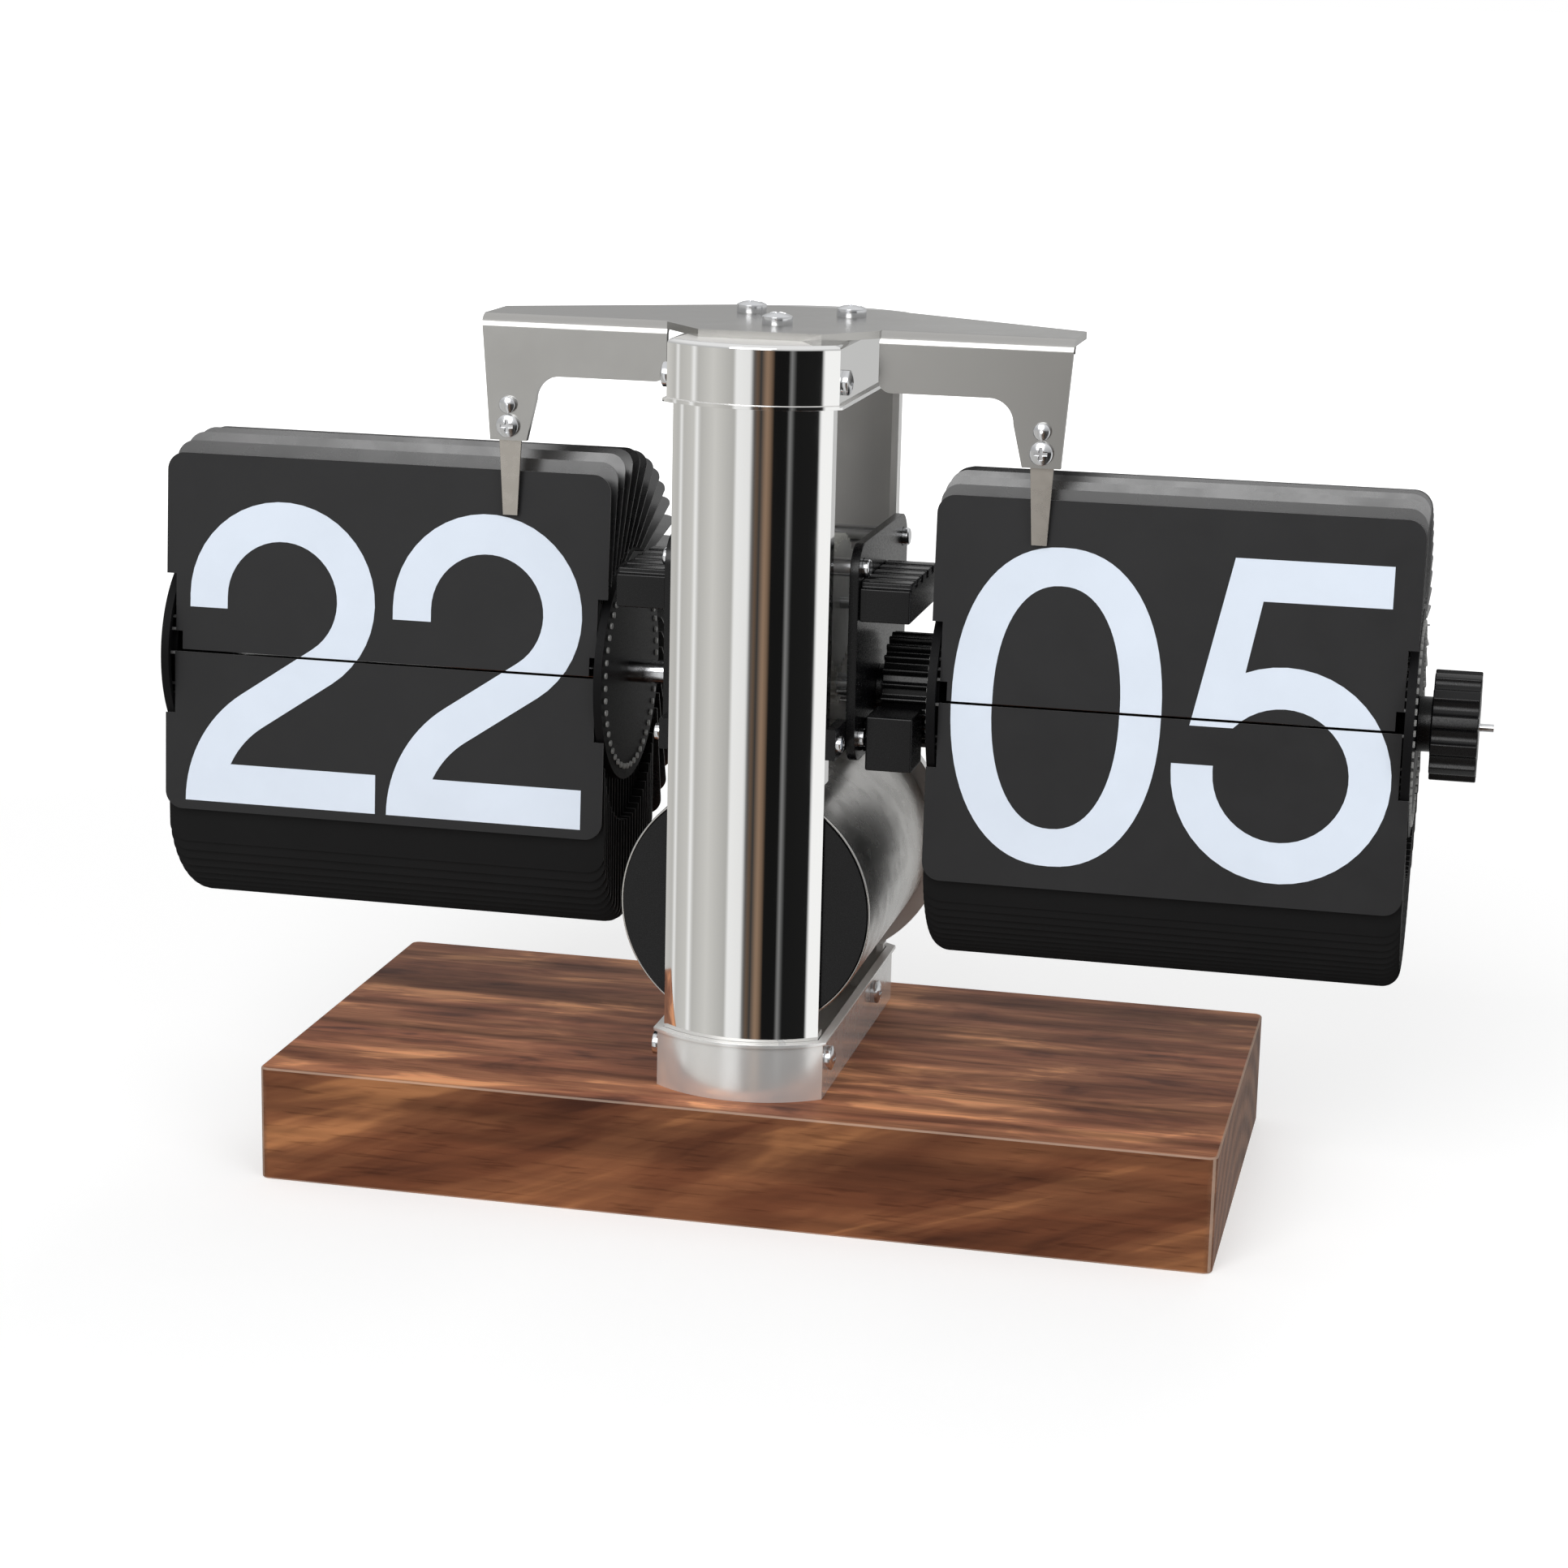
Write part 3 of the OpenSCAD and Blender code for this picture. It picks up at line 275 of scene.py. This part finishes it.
BASE_ARRIS = 0.0005
# The broken edges take a paler walnut, a painted highlight along them.
EDGE_HIGHLIGHT_SHARE = 0.4
trimmed("wood_base", "stand", "walnut", BASE_ARRIS, walnut_material("oiled_walnut", 0),
        walnut_material("walnut_edge_highlight", EDGE_HIGHLIGHT_SHARE), choose=is_arris, steps=3)


# Screws: bright zinc-plated steel, pressed heads with a cross slot.
# They hold the stand to the base, the bands to the columns, the arm to the cap and the fingers to the arm.

def marks_group():
    """Handling marks: soft smudges as a roughness and a height."""
    group, nodes, links, given, result = effect_group(
        "handling_marks", [("Low roughness", "Float"), ("High roughness", "Float"), ("Scale", "Float")],
        [("Roughness", "Float"), ("Height", "Float")])
    place = nodes.new("ShaderNodeTexCoord").outputs["Object"]
    smudge = fed(nodes, links, place, "Vector", "ShaderNodeTexNoise", Detail=4, Roughness=0.6)
    links.new(given.outputs["Scale"], smudge.inputs["Scale"])
    spread = fed(nodes, links, smudge.outputs["Fac"], "Value", "ShaderNodeMapRange", From_Min=0.35,
                 From_Max=0.7)
    links.new(given.outputs["Low roughness"], spread.inputs["To Min"])
    links.new(given.outputs["High roughness"], spread.inputs["To Max"])
    links.new(spread.outputs[0], result.inputs["Roughness"])
    links.new(smudge.outputs["Fac"], result.inputs["Height"])
    return group


handling_marks = marks_group()


def marked(nodes, links, shader, low, high, scale):
    """Places the handling marks in a shader's roughness, and gives back their height."""
    marks = node(nodes, "ShaderNodeGroup", node_tree=handling_marks, Low_roughness=low, High_roughness=high,
                 Scale=scale)
    links.new(marks.outputs["Roughness"], shader.inputs["Roughness"])
    return marks.outputs["Height"]


def metal_material(name, colour, low, high, scale, height=0.0, metallic=1.0):
    """Bare or plated metal with handling marks in its gloss, from a low to a high roughness."""
    material, nodes, links, shader = material_nodes(name)
    shader.inputs["Base Color"].default_value = (*colour, 1)
    shader.inputs["Metallic"].default_value = metallic
    marks_height = marked(nodes, links, shader, low, high, scale)
    if height:
        raise_surface(nodes, links, shader, marks_height, strength=height, distance=0.0001)
    return material


def paint(material, *names):
    """Gives CAD nodes that keep their own shape a finished material."""
    for name in names:
        mesh = node_object[name].data
        mesh.materials.clear()
        mesh.materials.append(material)


SCREW_EDGE = 0.00012
zinc_steel = metal_material("zinc_steel", (0.72, 0.73, 0.75), low=0.14, high=0.28, scale=400, height=0.05)
for screws in ("base_screws", "foot_screws", "cap_screws", "arm_screws", "finger_screws", "finger_rivets",
               "gearbox_screws"):
    trimmed(screws, "stand", "steel", SCREW_EDGE, zinc_steel)


# Stand: two bowed columns of polished chrome sheet held by a foot band and a cap band.
# The bands are folded sheet with a rolled lip and are screwed through their sides.
# The sheet is polished outside only, and its inside is left dull.

SHEET_EDGE = 0.0002
CAP_ROUND = 0.0008
polished_chrome = metal_material("polished_chrome", (0.88, 0.88, 0.875), low=0.03, high=0.07, scale=60)
dull_inside = metal_material("dull_inside", (0.8, 0.785, 0.76), low=0.4, high=0.5, scale=300, metallic=0.2)
foot_chrome = metal_material("foot_chrome", (0.82, 0.82, 0.81), low=0.16, high=0.26, scale=200, metallic=0.6)


def outward(face, point):
    """How far a face at a point looks away from the middle of the stand."""
    return face.normal.x * point.x + face.normal.y * point.y


def is_inside(face):
    """Faces of a sheet that look towards the middle of the stand."""
    return int(outward(face, face.calc_center_median()) < 0)


cap_half_width, _, cap_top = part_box("top_cap")[1]
RIM_REACH = 0.9 * cap_half_width
STEEP_LIMIT = 0.5


def is_cap_rim(edge):
    """Edges of the cap's outline on top, which the band is rolled over."""
    middle = (edge.verts[0].co + edge.verts[1].co) / 2
    on_top = all(abs(v.co.z - cap_top) < SAME_POINT for v in edge.verts)
    return on_top and len(edge.link_faces) == 2 and any(
        abs(f.normal.z) < STEEP_LIMIT and outward(f, middle) > RIM_REACH for f in edge.link_faces)


for sheet, outside, crown in (("foot_frame", foot_chrome, None), ("front_column", polished_chrome, None),
                              ("rear_column", polished_chrome, None),
                              ("top_cap", polished_chrome, (is_cap_rim, CAP_ROUND))):
    trimmed(sheet, "stand", "chrome", SHEET_EDGE, outside, dull_inside, choose=is_inside, crown=crown)


# Cross arm: one folded sheet with a level plate and two front flanges that end in tapered legs.
# It is plated like the stand, but its flat faces are duller and its bend is rolled round; its chrome is
# painted darker than the stand's, as painted shade.

# Painted shade: the arm's chrome is a darker copy of the stand's.
shaded_arm_chrome = metal_material("shaded_arm_chrome", (0.47, 0.465, 0.45), low=0.2, high=0.27, scale=90)
trimmed("cross_arm", "stand", "chrome", SHEET_EDGE, shaded_arm_chrome)


# Spring fingers: thin bare steel strips, riveted and screwed behind the arm's legs.
# Their tips rest before the front flaps and hold them back until they fall.

FINGER_EDGE = 0.00005
spring_steel = metal_material("spring_steel", (0.5, 0.47, 0.43), low=0.24, high=0.38, scale=500, height=0.05)
for finger in ("left_finger", "right_finger"):
    trimmed(finger, "stand", "steel", FINGER_EDGE, spring_steel)


# Battery barrel: a black moulded tube between the columns, in a bright sleeve, with a bayonet cap behind.
# Black moulded plastic has a fine satin texture from its mould. The cell inside is a plain lacquered can.

def cloud_group():
    """A faint cloudiness between a dark and a light tone."""
    group, nodes, links, given, result = effect_group(
        "cloudy_tone", [("Dark", "Color"), ("Light", "Color")], [("Colour", "Color")])
    place = nodes.new("ShaderNodeTexCoord").outputs["Object"]
    cloud = fed(nodes, links, place, "Vector", "ShaderNodeTexNoise", Scale=90, Detail=3, Roughness=0.55)
    share = fed(nodes, links, cloud.outputs["Fac"], "Value", "ShaderNodeMapRange", From_Min=0.3, From_Max=0.7)
    links.new(mix(nodes, links, "MIX", share.outputs[0], given.outputs["Dark"], given.outputs["Light"]),
              result.inputs["Colour"])
    return group


cloudy_tone = cloud_group()
ROUGHER = 0.08
SMOOTHER = 0.05


def plastic_material(name, colour, roughness, grain_scale, grain_height, specular=0.5, cloud_share=0.12):
    """Moulded plastic, film or print: a near-even colour with a fine surface texture."""
    material, nodes, links, shader = material_nodes(name)
    tone = node(nodes, "ShaderNodeGroup", node_tree=cloudy_tone,
                Dark=(*(c * (1 - cloud_share) for c in colour), 1),
                Light=(*(c * (1 + cloud_share) for c in colour), 1))
    links.new(tone.outputs["Colour"], shader.inputs["Base Color"])
    shader.inputs["Specular IOR Level"].default_value = specular
    grain = marked(nodes, links, shader, roughness - SMOOTHER, roughness + ROUGHER, grain_scale)
    raise_surface(nodes, links, shader, grain, strength=grain_height, distance=0.00005)
    return material


MOULDED_EDGE = 0.0003
black_plastic = plastic_material("black_moulding", (0.005, 0.005, 0.0055), roughness=0.26, grain_scale=4000,
                                 grain_height=0.04, specular=0.3)
brushed_sleeve = metal_material("brushed_sleeve", (0.62, 0.61, 0.59), low=0.22, high=0.32, scale=200)
trimmed("battery_barrel", "stand", "black_plastic", MOULDED_EDGE, black_plastic)
trimmed("battery_cap", "battery_door", "black_plastic", MOULDED_EDGE, black_plastic)
trimmed("barrel_sleeve", "stand", "chrome", SHEET_EDGE, brushed_sleeve)
contact_brass = metal_material("contact_brass", (0.78, 0.6, 0.3), low=0.2, high=0.35, scale=300)
paint(contact_brass, "front_contact", "rear_contact")
cell_can = plastic_material("cell_can", (0.05, 0.052, 0.058), roughness=0.3, grain_scale=500,
                            grain_height=0.05)
paint(cell_can, "battery_cell")


# Gearbox: three black moulded plates on steel pins, with feet screwed to the columns.
# Ribbed blocks brace the plates at the top, and the motor hangs beside the minute drum's sleeve.

PIN_EDGE = 0.0004
for moulding in ("gearbox_left_plate", "gearbox_centre_plate", "gearbox_right_plate", "gearbox_feet",
                 "gearbox_bridges", "motor_module"):
    trimmed(moulding, "stand", "black_plastic", MOULDED_EDGE, black_plastic)
trimmed("gearbox_spacers", "stand", "steel", PIN_EDGE, zinc_steel, steps=3)


# Gear train: natural acetal gears on ground steel shafts, between the gearbox plates.
# The lay pair steps the minute shaft down to the hour shaft.

acetal = plastic_material("natural_acetal", (0.72, 0.72, 0.68), roughness=0.4, grain_scale=900,
                          grain_height=0.1)
paint(acetal, "lay_gear", "lay_pinion", "minute_pinion", "hour_gear")
ground_steel = metal_material("ground_steel", (0.7, 0.71, 0.73), low=0.12, high=0.25, scale=700)
paint(ground_steel, "lay_shaft", "minute_shaft", "hour_shaft")


# Drum ends: black moulded discs pressed on the shafts, each with a ring of small pale beads.
# The minute shaft also carries the ridged drive sleeve and, outside, the fluted setting knob.

DISC_EDGE = 0.0002
BEAD_REACH = 0.0003
KNOB_EDGE = 0.0004
bead_plastic = plastic_material("bead_plastic", (0.3, 0.3, 0.29), roughness=0.35, grain_scale=900,
                                grain_height=0.1)
disc_plastic = plastic_material("disc_plastic", (0.005, 0.005, 0.0055), roughness=0.5, grain_scale=4000,
                                grain_height=0.04, specular=0.1)


def bead_chooser(bead_x):
    """Sorts out the bead faces, which stand proud of a disc's plain face at bead_x."""
    return lambda face: int(abs(face.calc_center_median().x - bead_x) < BEAD_REACH)


for disc, body, end in (("minute_inner_disc", "minute_drum", 0), ("minute_outer_disc", "minute_drum", 1),
                        ("hour_inner_disc", "hour_drum", 1), ("hour_outer_disc", "hour_drum", 0)):
    trimmed(disc, body, "black_plastic", DISC_EDGE, disc_plastic, bead_plastic,
            choose=bead_chooser(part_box(disc)[end][0]))
trimmed("setting_knob", "minute_drum", "black_plastic", KNOB_EDGE, black_plastic, steps=3)
trimmed("drive_sleeve", "minute_drum", "black_plastic", DISC_EDGE, black_plastic)


# Flaps: thin charcoal film with a satin coat, cut with rounded corners; each cut edge is painted paler, a
# painted highlight.
# The front pair is printed in white, and the packs above and below hold the flaps that wait and have fallen;
# the lower packs' film is painted darker, as painted shade.

def film_material(name, colour, roughness, specular):
    """Coated film, almost even in colour and gloss."""
    return plastic_material(name, colour, roughness, grain_scale=120, grain_height=0.02, specular=specular,
                            cloud_share=0.05)


flap_film = film_material("charcoal_film", (0.02, 0.02, 0.021), roughness=0.4, specular=0.28)
upper_film = film_material("upper_film", (0.02, 0.02, 0.021), roughness=0.27, specular=1.0)
# Painted shade: the lower packs' film is a darker copy of the same film.
shaded_lower_film = film_material("shaded_lower_film", (0.008, 0.008, 0.0083), roughness=0.4, specular=0.12)
# Painted highlight: the cut edges are paler than the film; on the lower packs they are less pale, as painted
# shade.
cut_edge_highlight = plastic_material("cut_edge_highlight", (0.15, 0.15, 0.15), roughness=0.45, grain_scale=2500,
                            grain_height=0.1, specular=0.3)
shaded_edge_highlight = plastic_material("shaded_edge_highlight", (0.045, 0.045, 0.045), roughness=0.45, grain_scale=2500,
                             grain_height=0.1, specular=0.2)
RIM_SHARE = 0.0003


def is_cut_edge(face):
    """Rim faces of a thin flap are long and very narrow."""
    return int(face.calc_area() < RIM_SHARE * face.calc_perimeter())


for drum in ("hour", "minute"):
    for flaps, body, film, edge in (("_front_flap", drum + "_flap", flap_film, cut_edge_highlight),
                                    ("_lower_flap", "stand", flap_film, cut_edge_highlight),
                                    ("_upper_stack", "stand", upper_film, cut_edge_highlight),
                                    ("_lower_stack", "stand", shaded_lower_film, shaded_edge_highlight)):
        trimmed(drum + flaps, body, "flap_black", 0, film, edge, choose=is_cut_edge)
digit_ink = plastic_material("digit_ink", (0.74, 0.81, 0.91), roughness=0.5, grain_scale=3000,
                             grain_height=0.1, specular=0.2, cloud_share=0.02)
paint(digit_ink, "hour_upper_digits", "hour_lower_digits", "minute_upper_digits", "minute_lower_digits")

# The neck of the five, where the stem's print runs on into the bowl, on both sides of the split
INK_DEPTH = 0.00008
NECK_UPPER = [(0.0766, -0.015994, 0.084826), (0.0779, -0.015994, 0.084826), (0.0771, -0.015894, 0.08625),
              (0.0769, -0.015894, 0.08625)]
NECK_LOWER = [(0.0764, -0.016435, 0.083623), (0.07675, -0.016435, 0.083623), (0.0772, -0.016415, 0.084052),
              (0.07763, -0.016394, 0.084472), (0.0765, -0.016394, 0.084472)]
for patch_name, body, front_corners in (("five_neck_upper", "minute_flap", NECK_UPPER),
                                        ("five_neck_lower", "stand", NECK_LOWER)):
    print_patch = bmesh.new()
    front = print_patch.faces.new([print_patch.verts.new(corner) for corner in front_corners])
    back = bmesh.ops.extrude_face_region(print_patch, geom=[front], use_keep_orig=True)["geom"]
    bmesh.ops.translate(print_patch, vec=(0, INK_DEPTH, 0),
                        verts=[v for v in back if isinstance(v, bmesh.types.BMVert)])
    bmesh.ops.recalc_face_normals(print_patch, faces=print_patch.faces)
    patch = object_from(print_patch, patch_name, digit_ink)
    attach(patch, body)


# Studio: a plain white floor and room, with a broad soft light over the front, a fill and a back light.
# In gloss, the room shows upright panels all round, as the dark and bright bands that a studio gives chrome.

FLOOR_HALF = 30
FLOOR_LIFT_NEAR = 0.42
FLOOR_LIFT_FAR = 1.0
NEAR_FLOOR = 0.3
FAR_FLOOR = 1.2
floor_paper, nodes, links, shader = material_nodes("floor_paper")
shader.inputs["Base Color"].default_value = (0.8, 0.8, 0.8, 1)
shader.inputs["Roughness"].default_value = 0.9
shader.inputs["Specular IOR Level"].default_value = 0
shader.inputs["Emission Color"].default_value = (1, 1, 1, 1)
distance = fed(nodes, links, nodes.new("ShaderNodeTexCoord").outputs["Object"], 0, "ShaderNodeVectorMath",
               operation="LENGTH")
whitening = fed(nodes, links, distance.outputs["Value"], "Value", "ShaderNodeMapRange", From_Min=NEAR_FLOOR,
                From_Max=FAR_FLOOR, To_Min=FLOOR_LIFT_NEAR, To_Max=FLOOR_LIFT_FAR)
lift = fed(nodes, links, nodes.new("ShaderNodeLightPath").outputs["Is Camera Ray"], 0, "ShaderNodeMath",
           operation="MULTIPLY")
links.new(whitening.outputs[0], lift.inputs[1])
links.new(lift.outputs[0], shader.inputs["Emission Strength"])
paper = bmesh.new()
bmesh.ops.create_grid(paper, x_segments=1, y_segments=1, size=FLOOR_HALF)
studio_floor = object_from(paper, "studio_floor", floor_paper)
studio_floor.visible_glossy = False

# Panels by their bearing from the front, in degrees to the right, each with its brightness and tint
GREY, WARM, BROWN = (1, 1, 0.99), (1, 0.985, 0.94), (1, 0.66, 0.44)
PANELS = [(-180, 0.55, GREY), (-170, 0.75, GREY), (-168, 0.1, GREY), (-150, 0.05, GREY), (-149, 0.5, WARM),
          (-130, 0.62, WARM), (-129, 0.12, GREY), (-104, 0.5, WARM), (-92, 0.66, WARM), (-82, 0.5, WARM),
          (-79, 0.9, GREY), (-76, 0.52, WARM), (-64, 0.6, WARM), (-61, 0.95, GREY), (-57, 0.5, WARM),
          (-42, 0.64, WARM), (-24, 0.46, WARM), (-21, 0.9, GREY), (-9, 0.85, GREY), (-6.5, 0.1, GREY),
          (-3, 0.13, BROWN), (0, 0.04, GREY), (5, 0.3, BROWN), (9, 0.16, BROWN), (11, 0.008, GREY),
          (23, 0.008, GREY), (25, 0.22, GREY), (29, 0.01, GREY), (51, 0.012, GREY), (53, 1.0, GREY),
          (80, 1.0, GREY), (180, 0.5, GREY)]
PANEL_TOP = 0.03
SKY_FOOT = 0.1
SKY = [(0.0, (0.48, 0.48, 0.475)), (0.3, (0.55, 0.55, 0.55)), (0.7, (0.85, 0.85, 0.85))]
ROOM_LEVEL = 0.42
world = bpy.data.worlds.new("studio")
bpy.context.scene.world = world
world.use_nodes = True
nodes, links = world.node_tree.nodes, world.node_tree.links
backdrop = nodes["Background"]
towards = fed(nodes, links, nodes.new("ShaderNodeTexCoord").outputs["Generated"], 0, "ShaderNodeSeparateXYZ")
ahead = fed(nodes, links, towards.outputs["Y"], 0, "ShaderNodeMath", operation="MULTIPLY")
ahead.inputs[1].default_value = -1
bearing = fed(nodes, links, towards.outputs["X"], 0, "ShaderNodeMath", operation="ARCTAN2")
links.new(ahead.outputs[0], bearing.inputs[1])
turn = fed(nodes, links, bearing.outputs[0], "Value", "ShaderNodeMapRange", From_Min=-math.pi,
           From_Max=math.pi)
panels = ramp(nodes, links, turn.outputs[0],
              [(0.5 + degrees / 360, tuple(level * c for c in tint)) for degrees, level, tint in PANELS])
above = fed(nodes, links, towards.outputs["Z"], "Value", "ShaderNodeMapRange", From_Min=PANEL_TOP,
            From_Max=SKY_FOOT)
room = mix(nodes, links, "MIX", above.outputs[0], panels, ramp(nodes, links, towards.outputs["Z"], SKY))
paths = nodes.new("ShaderNodeLightPath")
links.new(mix(nodes, links, "MIX", paths.outputs["Is Glossy Ray"], (1, 1, 1), room), backdrop.inputs["Color"])
seen = fed(nodes, links, paths.outputs["Is Camera Ray"], 0, "ShaderNodeMath", operation="MAXIMUM")
links.new(paths.outputs["Is Glossy Ray"], seen.inputs[1])
strength = fed(nodes, links, seen.outputs[0], "Value", "ShaderNodeMapRange", To_Min=ROOM_LEVEL)
links.new(strength.outputs[0], backdrop.inputs["Strength"])

CLOCK_MIDDLE = Vector((0, 0, 0.08))


def soft_box(name, place, size, power, in_gloss):
    """A square soft light aimed at the middle of the clock."""
    lamp = bpy.data.lights.new(name, "AREA")
    lamp.shape = "SQUARE"
    lamp.size = size
    lamp.energy = power
    holder = bpy.data.objects.new(name, lamp)
    bpy.context.scene.collection.objects.link(holder)
    holder.location = place
    holder.rotation_euler = (CLOCK_MIDDLE - Vector(place)).to_track_quat("-Z", "Y").to_euler()
    holder.visible_glossy = in_gloss


soft_box("over_front", place=(-0.2, -1.05, 0.75), size=0.75, power=7, in_gloss=True)
soft_box("right_fill", place=(1.1, -1.0, 0.5), size=0.8, power=5, in_gloss=False)
soft_box("back_light", place=(0.2, 1.3, 1.0), size=0.9, power=6, in_gloss=False)


# Camera: at the photograph's place, a little above the clock and to its right.
# Its lens is a long one, given by the focal length in pixels of the square picture.

CAMERA_PLACE = Vector((0.1221, -0.551, 0.1995))
CAMERA_YAW = math.radians(12.5)
CAMERA_PITCH = math.radians(13.4)
CAMERA_ROLL = math.radians(-1.3)
SENSOR = 36
FOCAL_PIXELS = 4200
PHOTO_PIXELS = 1932
NEAREST_SEEN = 0.01
forward = Vector((-math.sin(CAMERA_YAW) * math.cos(CAMERA_PITCH),
                  math.cos(CAMERA_YAW) * math.cos(CAMERA_PITCH), -math.sin(CAMERA_PITCH)))
level_right = Vector((math.cos(CAMERA_YAW), math.sin(CAMERA_YAW), 0))
level_down = forward.cross(level_right)
right = math.cos(CAMERA_ROLL) * level_right + math.sin(CAMERA_ROLL) * level_down
down = -math.sin(CAMERA_ROLL) * level_right + math.cos(CAMERA_ROLL) * level_down
lens = bpy.data.cameras.new("photo_camera")
lens.sensor_width = SENSOR
lens.lens = FOCAL_PIXELS / PHOTO_PIXELS * SENSOR
lens.clip_start = NEAREST_SEEN
camera = bpy.data.objects.new("photo_camera", lens)
bpy.context.scene.collection.objects.link(camera)
camera_turn = Matrix((right, -down, -forward)).transposed().to_4x4()
camera.matrix_world = Matrix.Translation(CAMERA_PLACE) @ camera_turn
bpy.context.scene.camera = camera
bpy.context.scene.view_settings.view_transform = "Standard"
